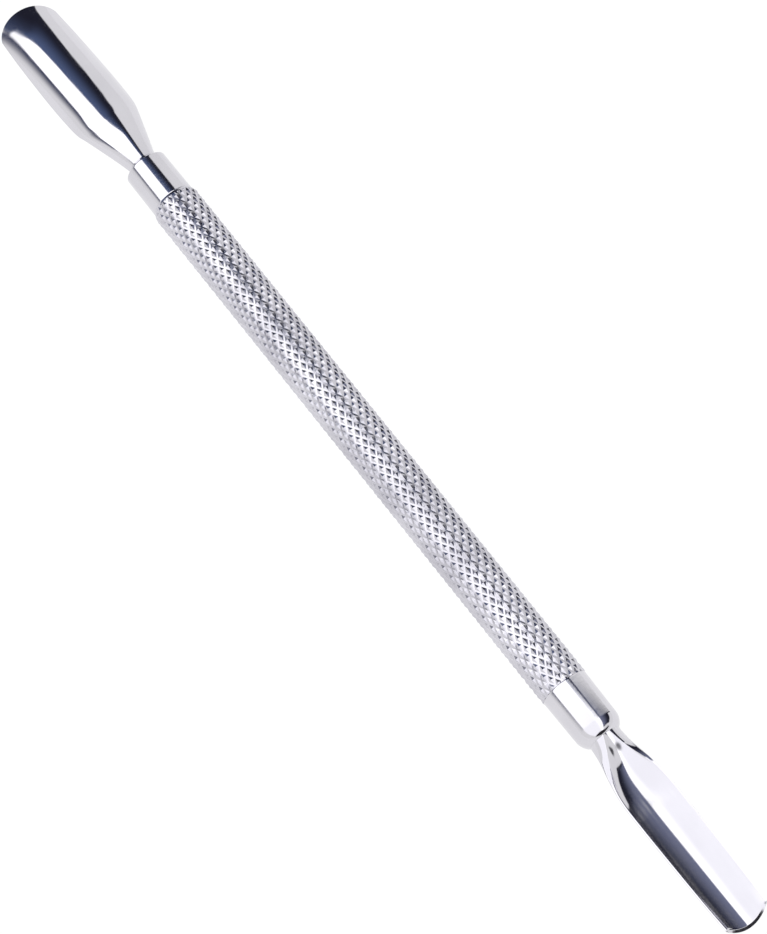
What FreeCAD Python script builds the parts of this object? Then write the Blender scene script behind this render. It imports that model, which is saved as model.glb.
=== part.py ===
"""Double-ended cuticle pusher: a knurled hollow handle with a smooth collar pressed
into each end, a wide spoon blade in one collar and a narrow gouge blade in the other.

Lengths are in millimetres. +X runs along the handle from the spoon to the gouge, +Z
is up: the spoon's round back and the gouge's hollow face up. The origin is on the
handle's axis, half way along the handle's knurled tube.
"""
import FreeCAD, Part
import math
import os

from FreeCAD import Vector

# Handle tube. Its outer radius is over the crests of the knurl.
TUBE_RADIUS = 2.75
TUBE_BORE_RADIUS = 1.95
TUBE_LENGTH = 68.9
SPOON_END_CHAMFER = (0.6, 0.25)  # length along the tube, and depth
GOUGE_END_CHAMFER = (0.3, 0.08)

# Collars: the smooth length outside the tube, and the spigot inside it.
SPIGOT_LENGTH = 9.0
SPIGOT_LEAD_IN = 0.5
SPOON_COLLAR_LENGTH = 5.9
SPOON_COLLAR_RADII = (2.50, 2.46)  # beside the tube, and at the far shoulder
SPOON_COLLAR_CHAMFER = 0.6
GOUGE_COLLAR_LENGTH = 6.6
GOUGE_COLLAR_RADII = (2.64, 2.56)
GOUGE_SHOULDER_LENGTH = 1.5

# Round tangs of the blades, and the gap left round them and the spigots for braze.
TANG_RADIUS = 1.2
TANG_CLEAR_OF_SPIGOT_END = 1.0
BRAZE_GAP = 0.02

# Blades, hollow side up, at distances from the collar: half of the width, height of the
# rims over the handle's axis, and depth of the round back below the rims. At the neck
# the blade is a round bar.
SPOON_NECK_RADIUS = 1.64
SPOON_LENGTH = 24.6
SPOON_TIP_AXIAL_RADIUS = 2.4
SPOON_STATIONS = (
    (0.0, SPOON_NECK_RADIUS, 0.0, SPOON_NECK_RADIUS),
    (3.0, 2.54, 0.02, 1.92),
    (6.0, 3.42, 0.15, 2.20),
    (7.2, 3.72, 0.40, 2.42),
    (9.0, 3.85, 0.62, 2.55),
    (12.5, 3.90, 0.92, 2.52),
    (18.5, 3.79, 1.28, 2.15),
    (22.5, 3.62, 1.45, 1.60),
    (SPOON_LENGTH, 3.52, 1.50, 1.05),
)
GOUGE_NECK_RADIUS = 1.80
GOUGE_LENGTH = 23.4
GOUGE_END_RADIUS = 4.1
GOUGE_STATIONS = (
    (0.0, GOUGE_NECK_RADIUS, 0.0, GOUGE_NECK_RADIUS),
    (1.5, 1.96, -0.05, 1.86),
    (4.0, 2.50, -0.25, 1.80),
    (6.4, 2.83, -0.45, 1.62),
    (9.0, 2.88, -0.50, 1.52),
    (15.0, 2.83, -0.50, 1.46),
    (20.0, 2.73, -0.50, 1.38),
    (GOUGE_LENGTH, 2.58, -0.50, 1.30),
)

# Hollows ground into both blades, which leave them this thick along the middle.
RIM_LAND = 0.22
BLADE_THICKNESS = 0.90
TIP_THICKNESS = 0.38
HOLLOW_START_HALF_WIDTH = 0.40
HOLLOW_START_DEPTH = 0.05
HOLLOW_RUN_IN = 5.5
FLAT_TOP = 0.04  # height left above the rims where the blade's top is flat
TOP_RUN_OUT = 5.5  # distance in which the neck's round top sinks to the rims
SECTION_SPACING = 1.0

TUBE_START_X = -TUBE_LENGTH / 2
TUBE_END_X = TUBE_LENGTH / 2
SPOON_NECK_X = TUBE_START_X - SPOON_COLLAR_LENGTH
GOUGE_NECK_X = TUBE_END_X + GOUGE_COLLAR_LENGTH

ALONG = Vector(1, 0, 0)


def ease(fraction):
    """An S-curve from 0 to 1 that starts and ends level."""
    held = min(max(fraction, 0.0), 1.0)
    return held * held * (3 - 2 * held)


def mix(start, end, share):
    return start + (end - start) * share


def turned(points):
    """Revolve an outline of (x, radius) corners round the X axis."""
    corners = [Vector(x, 0, radius) for x, radius in points]
    outline = Part.makePolygon(corners + [corners[0]])
    return Part.Face(outline).revolve(Vector(0, 0, 0), ALONG, 360)


def handle_tube():
    """Hollow handle with a chamfer at each end of the knurled outside."""
    spoon_chamfer, spoon_depth = SPOON_END_CHAMFER
    gouge_chamfer, gouge_depth = GOUGE_END_CHAMFER
    return turned([
        (TUBE_START_X, TUBE_BORE_RADIUS),
        (TUBE_START_X, TUBE_RADIUS - spoon_depth),
        (TUBE_START_X + spoon_chamfer, TUBE_RADIUS),
        (TUBE_END_X - gouge_chamfer, TUBE_RADIUS),
        (TUBE_END_X, TUBE_RADIUS - gouge_depth),
        (TUBE_END_X, TUBE_BORE_RADIUS),
    ])


def arc_radius(half_width, height):
    """Radius of a circular arc of this height over a chord of twice the half width."""
    return (half_width**2 + height**2) / (2 * height)


def collar(length, radii, shoulder_outline):
    """Collar with its tube end at x = 0 and its shoulder end at x = length."""
    tube_side_radius, shoulder_radius = radii
    bore_radius = TANG_RADIUS + BRAZE_GAP
    spigot_radius = TUBE_BORE_RADIUS - BRAZE_GAP
    return turned([
        (-SPIGOT_LENGTH, bore_radius),
        (-SPIGOT_LENGTH, spigot_radius - SPIGOT_LEAD_IN / 2),
        (-SPIGOT_LENGTH + SPIGOT_LEAD_IN, spigot_radius),
        (0, spigot_radius),
        (0, tube_side_radius),
        *shoulder_outline(length, shoulder_radius),
        (length, bore_radius),
    ])


def chamfered_shoulder(length, radius):
    return [
        (length - SPOON_COLLAR_CHAMFER, radius),
        (length, SPOON_NECK_RADIUS),
    ]


def rounded_shoulder(length, radius):
    """Arc that leaves the collar level and falls to the neck, which it meets at an angle."""
    steps = 8
    start = length - GOUGE_SHOULDER_LENGTH
    bend = arc_radius(GOUGE_SHOULDER_LENGTH, radius - GOUGE_NECK_RADIUS)
    end_angle = math.asin(GOUGE_SHOULDER_LENGTH / bend)
    angles = [end_angle * step / steps for step in range(steps + 1)]
    return [
        (start + bend * math.sin(angle), radius - bend * (1 - math.cos(angle)))
        for angle in angles
    ]


def spoon_collar():
    shape = collar(SPOON_COLLAR_LENGTH, SPOON_COLLAR_RADII, chamfered_shoulder)
    shape.rotate(Vector(0, 0, 0), Vector(0, 0, 1), 180)
    shape.translate(Vector(TUBE_START_X, 0, 0))
    return shape


def gouge_collar():
    shape = collar(GOUGE_COLLAR_LENGTH, GOUGE_COLLAR_RADII, rounded_shoulder)
    shape.translate(Vector(TUBE_END_X, 0, 0))
    return shape


def cap_height(half_width, height, y):
    """Height above its chord, at y, of a circular arc of this half width and height."""
    radius = arc_radius(half_width, height)
    return math.sqrt(radius**2 - y**2) - (radius - height)


def arc_edge(x, start, middle, end):
    """Circular arc through three (y, z) points of the plane at x."""
    return Part.Arc(*(Vector(x, y, z) for y, z in (start, middle, end))).toShape()


def blade_section(x, size):
    """Crescent: the belly's arc, the floor of the hollow, and a rim on each side."""
    half_width, rim, top = size["half_width"], size["rim"], size["top"]
    hollow_edge = size["hollow_half_width"]
    mid_rim = (half_width + hollow_edge) / 2

    def on_top(y):
        return (y, rim + cap_height(half_width, top, y))

    def mirrored(point):
        return (-point[0], point[1])

    corner = (half_width, rim)
    inner = on_top(hollow_edge)
    floor = (0, inner[1] - size["hollow_depth"])
    return Part.Wire([
        arc_edge(x, mirrored(corner), (0, rim - size["belly"]), corner),
        arc_edge(x, corner, on_top(mid_rim), inner),
        arc_edge(x, inner, floor, mirrored(inner)),
        arc_edge(x, mirrored(inner), mirrored(on_top(mid_rim)), mirrored(corner)),
    ])


def slope(stations, index, column):
    """Slope of a column at one station, between the stations on both sides of it."""
    before = stations[max(index - 1, 0)]
    after = stations[min(index + 1, len(stations) - 1)]
    return (after[column] - before[column]) / (after[0] - before[0])


def along(stations, s, column):
    """Value of a column at the distance s, on a smooth curve through the stations."""
    index = max(i for i in range(len(stations) - 1) if stations[i][0] <= s)
    start, end = stations[index], stations[index + 1]
    span = end[0] - start[0]
    share = (s - start[0]) / span
    bend_in = share * (1 - share) ** 2 * span * slope(stations, index, column)
    bend_out = share**2 * (1 - share) * span * slope(stations, index + 1, column)
    return mix(start[column], end[column], ease(share)) + bend_in - bend_out


def section_size(stations, s):
    """Sizes of a blade's section at a distance s from its collar, hollow side up."""
    length = stations[-1][0]
    half_width, rim, belly = (along(stations, s, column) for column in (1, 2, 3))
    run_in = min(s / HOLLOW_RUN_IN, 1.0)
    thickness = mix(BLADE_THICKNESS, TIP_THICKNESS, s / length)
    opened = math.sin(math.pi / 2 * run_in)
    sunk = math.sin(math.pi / 2 * min(s / TOP_RUN_OUT, 1.0))
    return {
        "half_width": half_width,
        "rim": rim,
        "belly": belly,
        "top": mix(stations[0][1], FLAT_TOP, sunk),
        "hollow_half_width": mix(HOLLOW_START_HALF_WIDTH, half_width - RIM_LAND, opened),
        "hollow_depth": mix(HOLLOW_START_DEPTH, belly - thickness, ease(run_in)),
    }


def blade(stations, tip_outline, collar_length):
    """Blade with its collar at x = 0, its tip at x = length and its hollow up."""
    length = stations[-1][0]
    count = round(length / SECTION_SPACING)
    places = [length * step / count for step in range(count + 1)]
    sections = [blade_section(s, section_size(stations, s)) for s in places]
    scoop = Part.makeLoft(sections, True, False).common(tip_outline)
    tang_length = collar_length + SPIGOT_LENGTH - TANG_CLEAR_OF_SPIGOT_END
    tang = Part.makeCylinder(TANG_RADIUS, tang_length, Vector(-tang_length, 0, 0), ALONG)
    return scoop.fuse(tang).removeSplitter().Solids[0]


def behind_tip(x):
    """Block that holds a whole blade as far as x."""
    reach = 2 * TUBE_RADIUS
    return Part.makeBox(x, 2 * reach, 2 * reach, Vector(0, -reach, -reach))


def spoon_tip_outline():
    """Plan of the spoon, ended by half an oval as wide as the blade where it starts."""
    reach = 2 * TUBE_RADIUS
    centre = Vector(SPOON_LENGTH - SPOON_TIP_AXIAL_RADIUS, 0, -reach)
    half_width = along(SPOON_STATIONS, centre.x, 1)
    widest = centre + Vector(0, half_width, 0)
    foremost = centre + Vector(SPOON_TIP_AXIAL_RADIUS, 0, 0)
    oval = Part.Wire(Part.Ellipse(widest, foremost, centre).toShape())
    return behind_tip(centre.x).fuse(Part.Face(oval).extrude(Vector(0, 0, 2 * reach)))


def gouge_tip_outline():
    """Plan of the gouge, ended by a shallow arc that leaves its two corners."""
    reach = 2 * TUBE_RADIUS
    centre = Vector(GOUGE_LENGTH - GOUGE_END_RADIUS, 0, -reach)
    return behind_tip(centre.x).fuse(Part.makeCylinder(GOUGE_END_RADIUS, 2 * reach, centre))


def spoon_blade():
    """Spoon with its hollow down, so it is turned over from the way it is drawn."""
    shape = blade(SPOON_STATIONS, spoon_tip_outline(), SPOON_COLLAR_LENGTH)
    shape.rotate(Vector(0, 0, 0), Vector(0, 1, 0), 180)
    shape.translate(Vector(SPOON_NECK_X, 0, 0))
    return shape


def gouge_blade():
    shape = blade(GOUGE_STATIONS, gouge_tip_outline(), GOUGE_COLLAR_LENGTH)
    shape.translate(Vector(GOUGE_NECK_X, 0, 0))
    return shape


NODES = {
    "handle_tube": handle_tube,
    "spoon_end_collar": spoon_collar,
    "gouge_end_collar": gouge_collar,
    "spoon_blade": spoon_blade,
    "gouge_blade": gouge_blade,
}

os.makedirs("parts", exist_ok=True)
for name, make in NODES.items():
    solid = make()
    solid.exportStep(f"parts/{name}.step")
    print(name, solid.ShapeType, len(solid.Solids), solid.isValid(), round(solid.Volume, 2))
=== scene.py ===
# Looks of the cuticle pusher: a knurled handle, a smooth collar at each end of it, a wide
# spoon blade and a narrow gouge blade, all in polished steel, on a white studio floor.
#
# Every piece stands for one CAD solid and repeats its shape at a finer grain. Sizes are
# in millimetres, and a mesh is scaled to metres when it is made. Places come from the
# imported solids' boxes.
import math
import random

import bmesh
import bpy
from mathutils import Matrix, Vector


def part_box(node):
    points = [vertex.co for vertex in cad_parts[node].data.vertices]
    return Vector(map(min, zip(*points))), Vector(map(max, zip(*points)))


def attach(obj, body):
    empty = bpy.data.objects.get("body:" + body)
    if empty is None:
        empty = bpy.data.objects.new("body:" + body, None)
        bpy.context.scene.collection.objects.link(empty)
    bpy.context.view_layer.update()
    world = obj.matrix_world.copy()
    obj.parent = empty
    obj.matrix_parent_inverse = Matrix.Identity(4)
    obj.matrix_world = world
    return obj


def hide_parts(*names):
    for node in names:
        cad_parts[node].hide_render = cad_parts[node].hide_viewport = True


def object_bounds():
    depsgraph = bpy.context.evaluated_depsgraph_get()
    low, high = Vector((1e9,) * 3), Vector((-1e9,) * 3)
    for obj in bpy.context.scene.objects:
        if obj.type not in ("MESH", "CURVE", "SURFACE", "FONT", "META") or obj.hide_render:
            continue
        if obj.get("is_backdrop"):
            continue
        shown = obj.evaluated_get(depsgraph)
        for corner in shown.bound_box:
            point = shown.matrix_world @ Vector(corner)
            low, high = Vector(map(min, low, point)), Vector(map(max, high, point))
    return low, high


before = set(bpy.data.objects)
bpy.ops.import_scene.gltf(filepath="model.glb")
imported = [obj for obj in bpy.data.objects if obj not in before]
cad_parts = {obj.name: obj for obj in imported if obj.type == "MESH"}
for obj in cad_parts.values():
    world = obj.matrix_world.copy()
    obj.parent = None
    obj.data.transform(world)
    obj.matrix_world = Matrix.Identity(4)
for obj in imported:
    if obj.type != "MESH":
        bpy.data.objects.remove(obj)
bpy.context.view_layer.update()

MM = 0.001
SEED = 7

# Handle tube. Its bore and chamfers are the CAD solid's.
TUBE_BORE_RADIUS = 1.95
SPOON_END_CHAMFER = (0.6, 0.25)  # length along the tube, and depth
GOUGE_END_CHAMFER = (0.3, 0.08)

# Knurl: two sets of spiral grooves. The grid has this many steps from groove to groove.
KNURL_STARTS = 20
KNURL_PITCH = 1.36  # from groove to groove, along the handle
KNURL_DEPTH = 0.15
KNURL_UNEVENNESS = 0.012
STEPS_PER_GROOVE = 8
GROOVE_FLAT_STEPS = 1  # half of the flat bottom
GROOVE_FLANK_STEPS = 3

# Collars.
SPIGOT_LENGTH = 9.0
SPIGOT_LEAD_IN = 0.5
SPOON_COLLAR_RADII = (2.50, 2.46)  # at the tube, and at the shoulder
SPOON_COLLAR_CHAMFER = 0.6
GOUGE_COLLAR_RADII = (2.64, 2.56)
GOUGE_SHOULDER_LENGTH = 1.5
SHOULDER_STEPS = 16
EDGE_ROUNDING = 0.08
CUTS_IN_A_SIDE = 5  # a corner's rounding takes at most one such part of each side
ROUNDING_STEPS = 4
COLLAR_SEGMENTS = 192

# Tangs of the blades.
TANG_RADIUS = 1.2
TANG_CLEAR_OF_SPIGOT_END = 1.0
BRAZE_GAP = 0.02

# Blades, hollow side up, at distances from the collar: half of the width, height of the
# rims over the handle's axis, and depth of the round back below the rims.
SPOON_NECK_RADIUS = 1.64
SPOON_LENGTH = 24.6
SPOON_TIP_AXIAL_RADIUS = 2.4
SPOON_STATIONS = (
    (0.0, SPOON_NECK_RADIUS, 0.0, SPOON_NECK_RADIUS),
    (3.0, 2.54, 0.02, 1.92),
    (6.0, 3.42, 0.15, 2.20),
    (7.2, 3.72, 0.40, 2.42),
    (9.0, 3.85, 0.62, 2.55),
    (12.5, 3.90, 0.92, 2.52),
    (18.5, 3.79, 1.28, 2.15),
    (22.5, 3.62, 1.45, 1.60),
    (SPOON_LENGTH, 3.52, 1.50, 1.05),
)
GOUGE_NECK_RADIUS = 1.80
GOUGE_LENGTH = 23.4
GOUGE_END_RADIUS = 4.1
GOUGE_BEVEL_WIDTH = 0.32  # on the hollow side of the gouge's end
GOUGE_BEVEL_DEPTH = 0.28
GOUGE_STATIONS = (
    (0.0, GOUGE_NECK_RADIUS, 0.0, GOUGE_NECK_RADIUS),
    (1.5, 1.96, -0.05, 1.86),
    (4.0, 2.50, -0.25, 1.80),
    (6.4, 2.83, -0.45, 1.62),
    (9.0, 2.88, -0.50, 1.52),
    (15.0, 2.83, -0.50, 1.46),
    (20.0, 2.73, -0.50, 1.38),
    (GOUGE_LENGTH, 2.58, -0.50, 1.30),
)
RIM_LAND = 0.22
BLADE_THICKNESS = 0.90
TIP_THICKNESS = 0.38
HOLLOW_START_HALF_WIDTH = 0.40
HOLLOW_START_DEPTH = 0.05
HOLLOW_RUN_IN = 5.5
FLAT_TOP = 0.04  # height left above the rims where the blade's top is flat
TOP_RUN_OUT = 5.5  # distance in which the neck's round top sinks to the rims

# Grain of the blades' meshes.
SECTION_SPACING = 0.1
TIP_SECTIONS = 28
TIP_LAST_ANGLE = 89.0  # degrees round the tip, so that it ends in a face, not a point
BELLY_STEPS = 26
WALL_STEPS = 3
LAND_STEPS = 5
HOLLOW_STEPS = 22
EDGE_BREAK = 0.08  # left off each arc of a section at its corner with the wall
NARROWEST_LAND = 0.02
NARROWEST_LAND_SHARE = 0.25  # of the half width, where that is smaller still

# Edges that turn by more degrees than this are drawn sharp.
KNURL_SHARP_ANGLE = 20
COLLAR_SHARP_ANGLE = 35
BLADE_SHARP_ANGLE = 50

# Steels: colour, colour where it is smudged, range of roughness, how the polishing grain
# is squeezed along X, Y and Z, and the height of the grain in metres.
KNURLED_STEEL = {
    "colour": (0.63, 0.62, 0.67, 1),
    "smudged_colour": (0.52, 0.51, 0.56, 1),
    "roughness": (0.15, 0.25),
    "grain_squeeze": (1, 1, 1),
    "grain_height": 2e-6,
}
POLISHED_STEEL = {
    "colour": (0.66, 0.65, 0.69, 1),
    "smudged_colour": (0.62, 0.61, 0.65, 1),
    "roughness": (0.07, 0.14),
    "grain_squeeze": (8, 1, 1),
    "grain_height": 3e-7,
}
BLADE_STEEL = {
    "colour": (0.67, 0.66, 0.70, 1),
    "smudged_colour": (0.64, 0.63, 0.67, 1),
    "roughness": (0.05, 0.12),
    "grain_squeeze": (0.1, 3, 3),
    "grain_height": 2e-7,
}
SMUDGE_SCALE = 180
SMUDGE_DETAIL = 3
SMUDGE_RANGE = (0.35, 0.75)  # of the noise, from clean to smudged
GRAIN_SCALE = 900
GRAIN_DETAIL = 4
GRAIN_RANGE = (0.3, 0.7)
GRAIN_GAIN = (0.7, 1.3)  # what the grain does to the wear
WEAR_PER_SMUDGE = 0.5
LEAST_WEAR = 0.25
WEAR_RANGE = (0.2, 0.8)  # from the lowest roughness to the highest

# What the steel mirrors. Angles are degrees round the handle, 0 straight up and positive
# to +Y. Leans are parts of 1 along it, toward the gouge. Edges are straight runs between
# (lean, angle) points, and pairs of leans or angles are where something fades in.
EDGE_SOFTNESS = 1.5  # degrees to each side of an edge
GAP_START = (
    (-0.785, -98), (-0.77, -40), (-0.75, -20), (-0.72, -13), (-0.66, -10), (-0.60, -8),
    (-0.52, -7), (-0.44, -7.5), (-0.38, -4), (-0.34, 12), (-0.23, 9), (-0.204, 9), (-0.197, 23),
)
GAP_END = (
    (-0.80, 69), (-0.76, 65), (-0.70, 59), (-0.64, 50), (-0.60, 45), (-0.52, 39), (-0.44, 33),
    (-0.204, 30), (-0.197, 97), (-0.165, 97), (-0.13, 72), (0.22, 70), (0.60, 64), (0.80, 20),
)
GAP_FULL_DEPTH = 0.8  # share of the gap's width where it is darkest
GAP_NEAR_PANEL = (0.10, 0.14, 0.27, 1)
GAP_NEAR_FAR_PANEL = (0.21, 0.23, 0.34, 1)
GAP_DEEP = (0.019, 0.020, 0.034, 1)
PANEL_FOOT = (
    (-0.77, -38), (-0.755, -45), (-0.735, -50), (-0.70, -54), (-0.62, -56), (-0.52, -57),
    (-0.44, -63), (-0.28, -62), (-0.24, -67),
)
PANEL = (1.8, 1.8, 1.8, 1)
LINE_FOOT = ((-0.77, -98), (-0.66, -92), (-0.55, -80), (-0.44, -79), (-0.23, -86))
LINE_LEAN = (-0.197, -0.204)
LINE = (0.05, 0.06, 0.12, 1)
FAR_PANEL_LEAN = (-0.204, -0.194)
FAR_PANEL_TURN = (14, -6)
FAR_PANEL = (1.36, 1.36, 1.40, 1)
END_GAP_EDGE = ((42, 0.905), (62, 0.78))  # here in (angle, lean) points
END_GAP_SOFTNESS = 0.012  # of lean
END_GAP_TURN = (-88, -70, 66, 78)  # it fades in over the first two angles, then out
END_GAP = (0.03, 0.03, 0.035, 1)
TENT = (0.97, 0.97, 0.97, 1)
BACKDROP = (1.0, 1.0, 1.0, 1)

# Floor.
FLOOR_SIZE = 40.0  # metres
FLOOR_COLOUR = (0.12, 0.12, 0.12, 1)
FLOOR_GLOW_COLOUR = (1.0, 1.0, 1.0, 1)
FLOOR_GLOW = 0.93

# Camera, with its angles in degrees.
AZIMUTH = 53.7
ELEVATION = 66.0
CAMERA_DISTANCE = 311.3
LENS = 115.6
AIM_ALONG_HANDLE = 4.1
AIM_ASIDE = -0.27


def ease(fraction):
    """An S-curve from 0 to 1 that starts and ends level."""
    held = min(max(fraction, 0.0), 1.0)
    return held * held * (3 - 2 * held)


def mix(start, end, share):
    return start + (end - start) * share


def box_mm(node):
    """Lowest and highest corner of a CAD node, in millimetres."""
    low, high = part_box(node)
    return low / MM, high / MM


tube_low, tube_high = box_mm("handle_tube")
TUBE_START_X = tube_low.x
TUBE_END_X = tube_high.x
TUBE_RADIUS = (tube_high.z - tube_low.z) / 2
AXIS_HEIGHT = (tube_high.z + tube_low.z) / 2
SPOON_NECK_X = box_mm("spoon_end_collar")[0].x
GOUGE_NECK_X = box_mm("gouge_end_collar")[1].x
SPOON_COLLAR_LENGTH = TUBE_START_X - SPOON_NECK_X
GOUGE_COLLAR_LENGTH = GOUGE_NECK_X - TUBE_END_X


# ---------------------------------------------------------------- meshes


def make_piece(name, points, faces, sharp_angle):
    """Mesh piece from points in millimetres, smooth but for edges sharper than the angle."""
    mesh = bpy.data.meshes.new(name)
    mesh.from_pydata([Vector(point) * MM for point in points], [], faces)
    shape = bmesh.new()
    shape.from_mesh(mesh)
    bmesh.ops.recalc_face_normals(shape, faces=shape.faces)
    shape.to_mesh(mesh)
    shape.free()
    mesh.shade_smooth()
    mesh.set_sharp_from_angle(angle=math.radians(sharp_angle))
    piece = bpy.data.objects.new(name, mesh)
    bpy.context.scene.collection.objects.link(piece)
    return piece


def band(first, second, count):
    """Quads between two rings of points, given each ring's first number."""
    return [
        (first + i, first + (i + 1) % count, second + (i + 1) % count, second + i)
        for i in range(count)
    ]


def knurl_band(first, second, count, row):
    """Triangles between two rings, folded along the knurl's own diagonals."""
    faces = []
    for i in range(count):
        near, near_next = first + i, first + (i + 1) % count
        far, far_next = second + i, second + (i + 1) % count
        if (i + row) % 2:
            faces += [(near, near_next, far_next), (near, far_next, far)]
        else:
            faces += [(near, near_next, far), (near_next, far_next, far)]
    return faces


def circle(x, radii):
    """Ring of points round the handle's axis, one for each radius."""
    turn = 2 * math.pi / len(radii)
    return [
        (x, radius * math.sin(turn * i), AXIS_HEIGHT + radius * math.cos(turn * i))
        for i, radius in enumerate(radii)
    ]


def groove_height(step):
    """Height between grooves of one set: 0 on the flat bottom, 1 on the crest."""
    half = STEPS_PER_GROOVE // 2
    distance = abs((step + half) % STEPS_PER_GROOVE - half)
    return min(max((distance - GROOVE_FLAT_STEPS) / GROOVE_FLANK_STEPS, 0.0), 1.0)


def chamfer_depth(distance, chamfer):
    """Depth of a chamfer (length, depth) at a distance from its end of the tube."""
    length, depth = chamfer
    return depth * max(1 - distance / length, 0)


def handle_piece():
    """Knurled tube: rings along its outside, and one at each end of its bore."""
    around = KNURL_STARTS * STEPS_PER_GROOVE
    length = TUBE_END_X - TUBE_START_X
    rows = round(length / KNURL_PITCH * STEPS_PER_GROOVE)
    dice = random.Random(SEED)
    wear = {}

    def radius(i, row):
        height = min(groove_height(row + i), groove_height(row - i))
        crest = ((row + i) // STEPS_PER_GROOVE, (row - i) // STEPS_PER_GROOVE)
        if crest not in wear:
            wear[crest] = dice.uniform(0, KNURL_UNEVENNESS)
        knurled = TUBE_RADIUS - KNURL_DEPTH * (1 - height) - wear[crest] * height
        spoon_chamfer = chamfer_depth(length * row / rows, SPOON_END_CHAMFER)
        gouge_chamfer = chamfer_depth(length * (rows - row) / rows, GOUGE_END_CHAMFER)
        return min(knurled, TUBE_RADIUS - spoon_chamfer - gouge_chamfer)

    points = []
    faces = []
    for row in range(rows + 1):
        x = TUBE_START_X + length * row / rows
        points += circle(x, [radius(i, row) for i in range(around)])
        if row < rows:
            faces += knurl_band(row * around, (row + 1) * around, around, row)
    for x in (TUBE_END_X, TUBE_START_X):
        points += circle(x, [TUBE_BORE_RADIUS] * around)
    bore_end = (rows + 1) * around
    faces += band(rows * around, bore_end, around)
    faces += band(bore_end, bore_end + around, around)
    faces += band(bore_end + around, 0, around)
    return make_piece("knurled_handle", points, faces, KNURL_SHARP_ANGLE)


def rounded(outline):
    """Closed outline with a small arc, and a point on each side of it, at every corner."""
    corners = [Vector(corner) for corner in outline]
    smooth = []
    for i, corner in enumerate(corners):
        before = corners[i - 1] - corner
        after = corners[(i + 1) % len(corners)] - corner
        cut = min(EDGE_ROUNDING, before.length / CUTS_IN_A_SIDE, after.length / CUTS_IN_A_SIDE)
        start = corner + before.normalized() * cut
        end = corner + after.normalized() * cut
        smooth.append(corner + before.normalized() * cut * 2)
        for step in range(ROUNDING_STEPS + 1):
            share = step / ROUNDING_STEPS
            smooth.append(start.lerp(corner, share).lerp(corner.lerp(end, share), share))
        smooth.append(corner + after.normalized() * cut * 2)
    return smooth


def collar_piece(name, tube_x, direction, length, radii, shoulder):
    """Collar turned from its outline, which runs from the tube's end to its shoulder."""
    bore_radius = TANG_RADIUS + BRAZE_GAP
    spigot_radius = TUBE_BORE_RADIUS - BRAZE_GAP
    outline = rounded([
        (length, bore_radius),
        (-SPIGOT_LENGTH, bore_radius),
        (-SPIGOT_LENGTH, spigot_radius - SPIGOT_LEAD_IN / 2),
        (-SPIGOT_LENGTH + SPIGOT_LEAD_IN, spigot_radius),
        (0, spigot_radius),
        (0, radii[0]),
        *shoulder(length, radii[1]),
    ])
    points = []
    faces = []
    for row, (along_axis, radius) in enumerate(outline):
        points += circle(tube_x + direction * along_axis, [radius] * COLLAR_SEGMENTS)
        next_row = (row + 1) % len(outline)
        faces += band(row * COLLAR_SEGMENTS, next_row * COLLAR_SEGMENTS, COLLAR_SEGMENTS)
    return make_piece(name, points, faces, COLLAR_SHARP_ANGLE)


def chamfered_shoulder(length, radius):
    return [(length - SPOON_COLLAR_CHAMFER, radius), (length, SPOON_NECK_RADIUS)]


def rounded_shoulder(length, radius):
    """Arc that leaves the collar level and falls to the neck, which it meets at an angle."""
    start = length - GOUGE_SHOULDER_LENGTH
    bend = arc_radius(GOUGE_SHOULDER_LENGTH, radius - GOUGE_NECK_RADIUS)
    end_angle = math.asin(GOUGE_SHOULDER_LENGTH / bend)
    angles = [end_angle * step / SHOULDER_STEPS for step in range(SHOULDER_STEPS + 1)]
    return [
        (start + bend * math.sin(angle), radius - bend * (1 - math.cos(angle)))
        for angle in angles
    ]


def slope(stations, index, column):
    """Slope of a column at one station, between the stations on both sides of it."""
    before = stations[max(index - 1, 0)]
    after = stations[min(index + 1, len(stations) - 1)]
    return (after[column] - before[column]) / (after[0] - before[0])


def along(stations, s, column):
    """Value of a column at the distance s, on a smooth curve through the stations."""
    index = max(i for i in range(len(stations) - 1) if stations[i][0] <= s)
    start, end = stations[index], stations[index + 1]
    span = end[0] - start[0]
    share = (s - start[0]) / span
    bend_in = share * (1 - share) ** 2 * span * slope(stations, index, column)
    bend_out = share**2 * (1 - share) * span * slope(stations, index + 1, column)
    return mix(start[column], end[column], ease(share)) + bend_in - bend_out


def section_size(stations, s):
    """Sizes of a blade's section at a distance s from its collar, hollow side up."""
    length = stations[-1][0]
    half_width, rim, belly = (along(stations, s, column) for column in (1, 2, 3))
    run_in = min(s / HOLLOW_RUN_IN, 1.0)
    thickness = mix(BLADE_THICKNESS, TIP_THICKNESS, s / length)
    opened = math.sin(math.pi / 2 * run_in)
    sunk = math.sin(math.pi / 2 * min(s / TOP_RUN_OUT, 1.0))
    return {
        "half_width": half_width,
        "rim": rim,
        "belly": belly,
        "top": mix(stations[0][1], FLAT_TOP, sunk),
        "hollow_half_width": mix(HOLLOW_START_HALF_WIDTH, half_width - RIM_LAND, opened),
        "hollow_depth": mix(HOLLOW_START_DEPTH, belly - thickness, ease(run_in)),
    }


def arc_radius(half_width, height):
    """Radius of the circular arc that has this half width and height over its chord."""
    return (half_width**2 + height**2) / (2 * height)


def cap_height(half_width, height, y):
    """Height above its chord, at y, of a circular arc of this half width and height."""
    radius = arc_radius(half_width, height)
    return math.sqrt(max(radius**2 - y**2, 0)) - (radius - height)


def short_of_corner(half_width, height):
    """Where an arc is still a small way from the corner that it ends in."""
    radius = arc_radius(half_width, height)
    return radius * math.sin(math.asin(min(half_width / radius, 1)) - EDGE_BREAK / radius)


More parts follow.
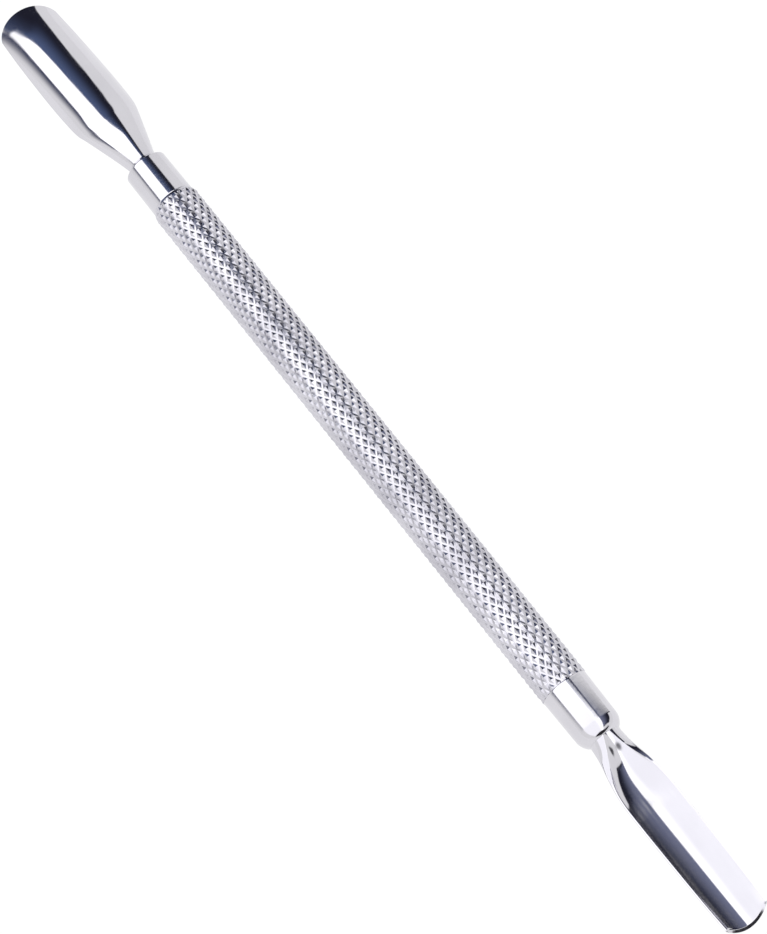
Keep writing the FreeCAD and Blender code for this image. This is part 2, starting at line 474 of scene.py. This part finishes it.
def arc_steps(radius, start, end, steps):
    """Values of y in even steps of angle on an arc, without the first one."""
    first, last = math.asin(start / radius), math.asin(end / radius)
    return [radius * math.sin(mix(first, last, step / steps)) for step in range(1, steps + 1)]


def no_bevel(s, y):
    """Depth of the bevel on a section that has none."""
    return 0.0


def half_section(size, reach, bevel=no_bevel, s=0.0):
    """Points (y, z) from the middle of the belly round the rim to the middle of the top.

    The section reaches this far to the side, less than its half width where the tip cuts
    it short. bevel(s, y) is what is taken off its top.
    """
    half_width, rim, belly = size["half_width"], size["rim"], size["belly"]
    top, edge, depth = size["top"], size["hollow_half_width"], size["hollow_depth"]
    edge_z = rim + cap_height(half_width, top, edge)

    def below(y):
        return rim - cap_height(half_width, belly, y)

    def above(y):
        if y > edge:
            return rim + cap_height(half_width, top, y) - bevel(s, y)
        return edge_z - cap_height(edge, depth, y) - bevel(s, y)

    foot = min(reach, short_of_corner(half_width, belly))
    head = min(reach, short_of_corner(half_width, top))
    inner = min(edge, head - min(NARROWEST_LAND, head * NARROWEST_LAND_SHARE))
    belly_ys = arc_steps(arc_radius(half_width, belly), 0, foot, BELLY_STEPS)
    land_ys = arc_steps(arc_radius(half_width, top), head, inner, LAND_STEPS)
    hollow_ys = arc_steps(arc_radius(edge, depth), inner, 0, HOLLOW_STEPS)
    points = [(y, below(y)) for y in [0.0] + belly_ys]
    for step in range(1, WALL_STEPS + 1):
        share = step / WALL_STEPS
        points.append((mix(foot, head, share), mix(below(foot), above(head), share)))
    points += [(y, above(y)) for y in land_ys + hollow_ys]
    return points


def full_section(half):
    """Closed ring of points from one side of a section and its mirror image."""
    return half + [(-y, z) for y, z in reversed(half[1:-1])]


def round_tang(neck):
    """Ring of the tang, with each point on the ray from the axis to the neck's own."""
    return [
        (y * TANG_RADIUS / math.hypot(y, z), z * TANG_RADIUS / math.hypot(y, z))
        for y, z in neck
    ]


def blade_rings(stations, tip, collar_length, bevel=no_bevel):
    """Rings (distance from the collar, points) from the end of the tang to the tip."""
    tip_start = tip[0][0]
    count = round(tip_start / SECTION_SPACING)
    tang = round_tang(full_section(half_section(section_size(stations, 0), stations[0][1])))
    tang_length = collar_length + SPIGOT_LENGTH - TANG_CLEAR_OF_SPIGOT_END
    rings = [(-tang_length, tang), (0.0, tang)]
    for step in range(count):
        s = tip_start * step / count
        size = section_size(stations, s)
        rings.append((s, full_section(half_section(size, size["half_width"]))))
    for s, reach in tip:
        rings.append((s, full_section(half_section(section_size(stations, s), reach, bevel, s))))
    return rings


def end_faces(first, count):
    """Faces that close a blade's ring: strips between the mirrored halves of the ring."""
    faces = []
    for i in range(count // 2):
        corners = (i, i + 1, count - i - 1, (count - i) % count)
        faces.append(tuple(first + corner for corner in dict.fromkeys(corners)))
    return faces


def blade_piece(name, rings, place):
    """Blade skinned over its rings. place turns (s, y, z) into a point of the frame."""
    count = len(rings[0][1])
    points = [place(s, y, z) for s, ring in rings for y, z in ring]
    faces = []
    for row in range(len(rings) - 1):
        faces += band(row * count, (row + 1) * count, count)
    faces += end_faces(0, count)
    faces += end_faces((len(rings) - 1) * count, count)
    return make_piece(name, points, faces, BLADE_SHARP_ANGLE)


def tip_places(centre, axial_radius, side_radius, first_angle):
    """Distances, and half widths of the plan, round an oval tip from its first angle on."""
    angles = [
        math.radians(mix(first_angle, TIP_LAST_ANGLE, step / TIP_SECTIONS))
        for step in range(TIP_SECTIONS + 1)
    ]
    return [(centre + axial_radius * math.sin(a), side_radius * math.cos(a)) for a in angles]


def spoon_piece():
    """Spoon with its hollow down, so it is turned over from the way it is drawn."""
    centre = SPOON_LENGTH - SPOON_TIP_AXIAL_RADIUS
    side_radius = along(SPOON_STATIONS, centre, 1)
    tip = tip_places(centre, SPOON_TIP_AXIAL_RADIUS, side_radius, 0)
    rings = blade_rings(SPOON_STATIONS, tip, SPOON_COLLAR_LENGTH)

    def place(s, y, z):
        return (SPOON_NECK_X - s, y, AXIS_HEIGHT - z)

    return blade_piece("spoon", rings, place)


def gouge_piece():
    """Gouge with its hollow up. Its end is an arc from corner to corner."""
    centre = GOUGE_LENGTH - GOUGE_END_RADIUS
    corner_angle = math.degrees(math.acos(GOUGE_STATIONS[-1][1] / GOUGE_END_RADIUS))
    tip = tip_places(centre, GOUGE_END_RADIUS, GOUGE_END_RADIUS, corner_angle)

    def bevel(s, y):
        """Depth of the bevel at (s, y), deepest at the outline of the end."""
        from_end = GOUGE_END_RADIUS - math.hypot(s - centre, y)
        return GOUGE_BEVEL_DEPTH * min(max(1 - from_end / GOUGE_BEVEL_WIDTH, 0.0), 1.0)

    rings = blade_rings(GOUGE_STATIONS, tip, GOUGE_COLLAR_LENGTH, bevel)

    def place(s, y, z):
        return (GOUGE_NECK_X + s, y, AXIS_HEIGHT + z)

    return blade_piece("gouge", rings, place)


# ---------------------------------------------------------------- nodes


def add(tree, kind, inputs=None, **settings):
    """New node with settings, and with values or links on its inputs."""
    made = tree.nodes.new(kind)
    for key, value in settings.items():
        setattr(made, key, value)
    for key, value in (inputs or {}).items():
        if isinstance(value, bpy.types.NodeSocket):
            tree.links.new(value, made.inputs[key])
        else:
            made.inputs[key].default_value = value
    return made


def calculate(tree, operation, *values):
    return add(tree, "ShaderNodeMath", dict(enumerate(values)), operation=operation).outputs[0]


def fade(tree, value, start, end, low=0.0, high=1.0):
    """low up to start, high from end on, and an S-curve between."""
    inputs = {"Value": value, "From Min": start, "From Max": end, "To Min": low, "To Max": high}
    return add(tree, "ShaderNodeMapRange", inputs, interpolation_type="SMOOTHSTEP").outputs[0]


def soft_step(tree, value, edge, softness=EDGE_SOFTNESS):
    """0 below an edge that is itself worked out, and 1 above it."""
    past = calculate(tree, "SUBTRACT", value, edge)
    return fade(tree, past, -softness, softness)


def straight_runs(tree, value, points):
    """What a line of straight runs between (value, result) points gives for a value."""
    (first_value, result), *rest = points
    line = result
    for next_value, next_result in rest:
        inputs = {
            "Value": value, "From Min": first_value, "From Max": next_value,
            "To Min": 0.0, "To Max": next_result - result,
        }
        rise = add(tree, "ShaderNodeMapRange", inputs).outputs[0]
        line = calculate(tree, "ADD", line, rise)
        first_value, result = next_value, next_result
    return line


def blend_colour(tree, share, first, second):
    """Mix of two colours, each of them a value or a link, as the share may be."""
    made = add(tree, "ShaderNodeMix", data_type="RGBA")
    share_input, first_input, second_input = (made.inputs[i] for i in (0, 6, 7))
    for socket, value in ((share_input, share), (first_input, first), (second_input, second)):
        if isinstance(value, bpy.types.NodeSocket):
            tree.links.new(value, socket)
        else:
            socket.default_value = value
    return made.outputs[2]


def noise(tree, coordinates, scale, detail, squeeze=(1, 1, 1)):
    placed = add(tree, "ShaderNodeMapping", {"Vector": coordinates, "Scale": squeeze})
    inputs = {"Vector": placed.outputs[0], "Scale": scale, "Detail": detail}
    return add(tree, "ShaderNodeTexNoise", inputs).outputs["Fac"]


def steel(name, colour, smudged_colour, roughness, grain_squeeze, grain_height):
    """Polished steel: smudges in its colour and gloss, and fine polishing lines."""
    material = bpy.data.materials.new(name)
    material.use_nodes = True
    tree = material.node_tree
    shader = tree.nodes["Principled BSDF"]
    place = add(tree, "ShaderNodeTexCoord").outputs["Object"]
    smudges = noise(tree, place, SMUDGE_SCALE, SMUDGE_DETAIL)
    grain = noise(tree, place, GRAIN_SCALE, GRAIN_DETAIL, grain_squeeze)

    smudged = fade(tree, smudges, *SMUDGE_RANGE)
    base = blend_colour(tree, smudged, colour, smudged_colour)
    wear = calculate(tree, "MULTIPLY_ADD", smudges, WEAR_PER_SMUDGE, LEAST_WEAR)
    wear = calculate(tree, "MULTIPLY", wear, fade(tree, grain, *GRAIN_RANGE, *GRAIN_GAIN))
    bump = add(tree, "ShaderNodeBump", {"Height": grain, "Distance": grain_height, "Strength": 1.0})

    tree.links.new(base, shader.inputs["Base Color"])
    tree.links.new(fade(tree, wear, *WEAR_RANGE, *roughness), shader.inputs["Roughness"])
    tree.links.new(bump.outputs[0], shader.inputs["Normal"])
    shader.inputs["Metallic"].default_value = 1.0
    return material


def dress(piece, node, material):
    """Put a piece in the place of its CAD node, with its material."""
    piece.data.materials.append(material)
    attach(piece, "root")
    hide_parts(node)


# ---------------------------------------------------------------- studio


def reverse(tree, step):
    """1 where the step is 0, and 0 where it is 1."""
    return calculate(tree, "SUBTRACT", 1.0, step)


def gap_colour(tree, lean, degrees, gap_start, gap_end):
    """Colour across the dark gap: bluish beside the panels, and nearly black further on."""
    share = calculate(
        tree, "DIVIDE",
        calculate(tree, "SUBTRACT", degrees, gap_start),
        calculate(tree, "SUBTRACT", gap_end, gap_start),
    )
    by_panel = fade(tree, lean, *FAR_PANEL_LEAN)
    near = blend_colour(tree, by_panel, GAP_NEAR_PANEL, GAP_NEAR_FAR_PANEL)
    return blend_colour(tree, fade(tree, share, 0.0, GAP_FULL_DEPTH), near, GAP_DEEP)


def end_gap(tree, lean, degrees):
    """Share of the dark gap past the gouge end of the tool."""
    in_start, in_end, out_start, out_end = END_GAP_TURN
    turned_to = calculate(
        tree, "MULTIPLY",
        fade(tree, degrees, in_start, in_end), fade(tree, degrees, out_end, out_start),
    )
    edge = straight_runs(tree, degrees, END_GAP_EDGE)
    return calculate(tree, "MULTIPLY", turned_to, soft_step(tree, lean, edge, END_GAP_SOFTNESS))


def studio_world():
    """White tent round the tool, with bright panels and dark gaps for it to mirror.

    The panel ends in a thin dark line at its foot and in the dark gap at its top. Toward
    the gouge the far panel takes its place.
    """
    world = bpy.data.worlds.new("studio")
    bpy.context.scene.world = world
    world.use_nodes = True
    tree = world.node_tree
    direction = add(tree, "ShaderNodeTexCoord").outputs["Generated"]
    lean, side, up = add(tree, "ShaderNodeSeparateXYZ", {0: direction}).outputs
    turn = calculate(tree, "ARCTAN2", side, up)
    degrees = calculate(tree, "MULTIPLY", turn, math.degrees(1))

    gap_start = straight_runs(tree, lean, GAP_START)
    gap_end = straight_runs(tree, lean, GAP_END)
    panel_foot = straight_runs(tree, lean, PANEL_FOOT)
    line_foot = straight_runs(tree, lean, LINE_FOOT)
    past_start = soft_step(tree, degrees, gap_start)
    past_end = soft_step(tree, degrees, gap_end)
    past_foot = soft_step(tree, degrees, panel_foot)

    in_panel = calculate(tree, "MULTIPLY", past_foot, reverse(tree, past_start))
    in_gap = calculate(tree, "MULTIPLY", past_start, reverse(tree, past_end))
    in_far_panel = calculate(
        tree, "MULTIPLY",
        fade(tree, lean, *FAR_PANEL_LEAN), fade(tree, degrees, *FAR_PANEL_TURN),
    )
    in_line = calculate(
        tree, "MULTIPLY", fade(tree, degrees, line_foot, panel_foot), reverse(tree, past_foot)
    )
    in_line = calculate(tree, "MULTIPLY", in_line, fade(tree, lean, *LINE_LEAN))

    gap = gap_colour(tree, lean, degrees, gap_start, gap_end)
    panels = blend_colour(tree, in_far_panel, PANEL, FAR_PANEL)
    colour = blend_colour(tree, in_panel, TENT, panels)
    colour = blend_colour(tree, in_line, colour, LINE)
    colour = blend_colour(tree, in_gap, colour, gap)
    colour = blend_colour(tree, end_gap(tree, lean, degrees), colour, END_GAP)
    seen = add(tree, "ShaderNodeLightPath").outputs["Is Camera Ray"]
    shown = blend_colour(tree, seen, colour, BACKDROP)
    tree.links.new(shown, tree.nodes["Background"].inputs["Color"])


def floor_piece(height):
    """Plain pale floor under the tool, which glows a little so that it stays white."""
    half = FLOOR_SIZE / 2
    corners = [(-half, -half), (half, -half), (half, half), (-half, half)]
    mesh = bpy.data.meshes.new("floor")
    mesh.from_pydata([(x, y, height) for x, y in corners], [], [(0, 1, 2, 3)])
    floor = bpy.data.objects.new("floor", mesh)
    bpy.context.scene.collection.objects.link(floor)
    material = bpy.data.materials.new("white_floor")
    material.use_nodes = True
    shader = material.node_tree.nodes["Principled BSDF"]
    shader.inputs["Base Color"].default_value = FLOOR_COLOUR
    shader.inputs["Roughness"].default_value = 1.0
    shader.inputs["Specular IOR Level"].default_value = 0.0
    shader.inputs["Emission Color"].default_value = FLOOR_GLOW_COLOUR
    shader.inputs["Emission Strength"].default_value = FLOOR_GLOW
    mesh.materials.append(material)
    floor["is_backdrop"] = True


def camera():
    """Camera at the viewing angle, aimed at a point near the middle of the handle."""
    made = bpy.data.cameras.new("camera")
    made.lens = LENS
    view = bpy.data.objects.new("camera", made)
    bpy.context.scene.collection.objects.link(view)
    view.rotation_euler = (math.radians(90 - ELEVATION), 0, math.radians(AZIMUTH))
    turned = view.rotation_euler.to_matrix()
    across = turned @ Vector((0, 0, 1))
    handle_direction = Vector((1, 0, 0))
    aside = across.cross(handle_direction).normalized()
    aim = Vector((AIM_ALONG_HANDLE, 0, AXIS_HEIGHT)) + aside * AIM_ASIDE
    view.location = (aim + across * CAMERA_DISTANCE) * MM
    bpy.context.scene.camera = view


knurled_steel = steel("knurled_steel", **KNURLED_STEEL)
polished_steel = steel("polished_steel", **POLISHED_STEEL)
blade_steel = steel("blade_steel", **BLADE_STEEL)

dress(handle_piece(), "handle_tube", knurled_steel)
spoon_collar = collar_piece(
    "spoon_collar", TUBE_START_X, -1, SPOON_COLLAR_LENGTH, SPOON_COLLAR_RADII, chamfered_shoulder
)
dress(spoon_collar, "spoon_end_collar", polished_steel)
gouge_collar = collar_piece(
    "gouge_collar", TUBE_END_X, 1, GOUGE_COLLAR_LENGTH, GOUGE_COLLAR_RADII, rounded_shoulder
)
dress(gouge_collar, "gouge_end_collar", polished_steel)
dress(spoon_piece(), "spoon_blade", blade_steel)
dress(gouge_piece(), "gouge_blade", blade_steel)

studio_world()
floor_piece(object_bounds()[0].z)
camera()
bpy.context.scene.view_settings.view_transform = "Standard"
